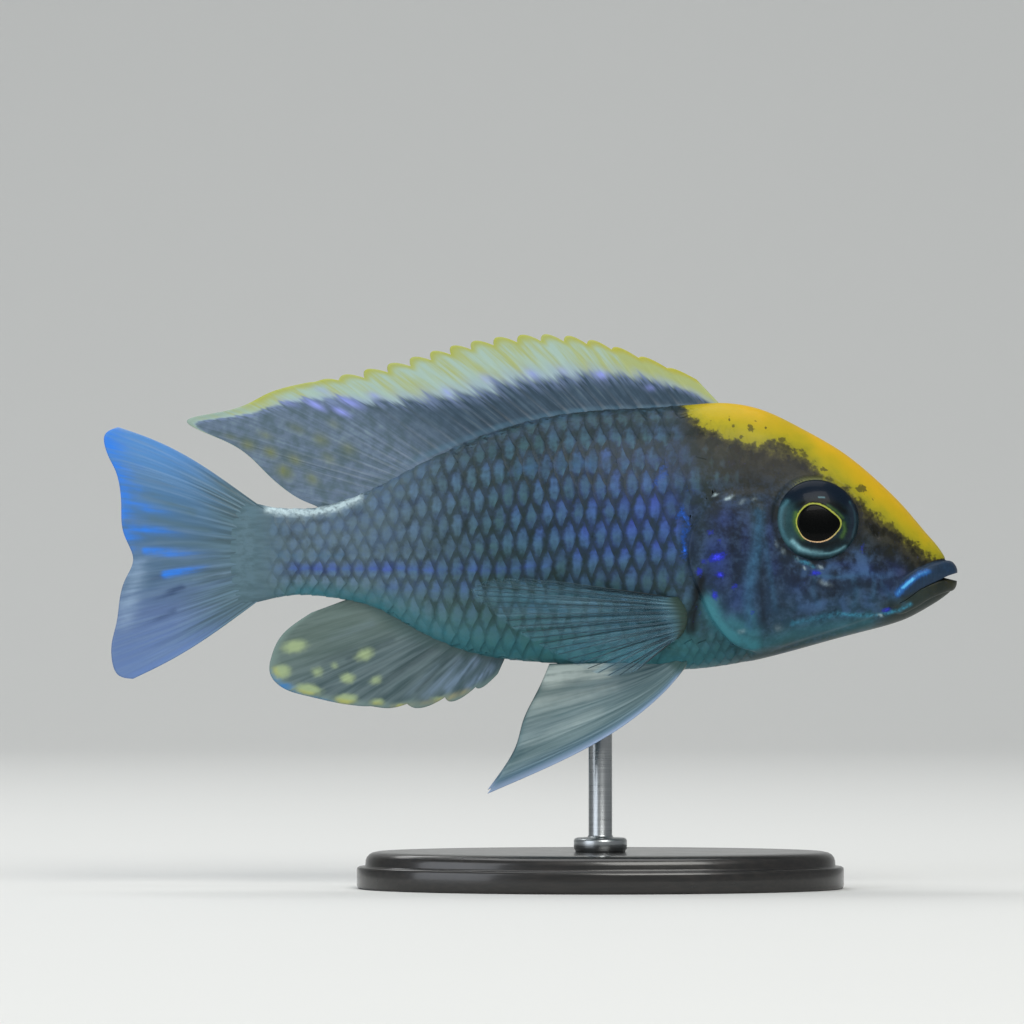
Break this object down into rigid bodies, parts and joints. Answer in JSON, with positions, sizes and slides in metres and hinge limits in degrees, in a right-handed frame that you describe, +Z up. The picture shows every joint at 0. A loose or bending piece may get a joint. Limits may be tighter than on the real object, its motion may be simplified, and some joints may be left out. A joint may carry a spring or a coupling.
{
  "type": "peacock cichlid model on a stand",
  "caption": "Male peacock cichlid as a life-size model: blue scaled body, yellow forehead, long spiny dorsal fin and spotted anal fin, held level on a rod above an oval base.",
  "frame": {"origin": "on the floor under the middle of the fish's length, in its middle plane", "axes": "+X towards the head along the body, +Y to the fish's left, +Z up"},
  "size_m": [0.1149, 0.039, 0.0751],
  "materials": {
    "skin": "moist fish skin with overlapping scales, slate blue with violet-blue centres, yellow on the forehead",
    "fin": "thin fin membrane over raised rays, blue-grey with pale yellow margins and spots",
    "eye": "wet glossy eye, dark blue-green iris with a gold ring round a black pupil",
    "stand_wood": "turned hardwood with satin black lacquer",
    "stand_steel": "turned and brushed stainless steel"
  },
  "bodies": {
    "root": {"head": "skin", "lower_jaw": "skin", "gill_cover_right": "skin", "gill_cover_left": "skin", "trunk": "skin", "tail_stalk": "skin", "dorsal_fin": "fin", "anal_fin": "fin", "tail_fin": "fin", "pectoral_fin_right": "fin", "pectoral_fin_left": "fin", "pelvic_fin_right": "fin", "pelvic_fin_left": "fin", "eye_right": "eye", "eye_left": "eye", "stand_base": "stand_wood", "stand_rod": "stand_steel"}
  },
  "joints": []
}
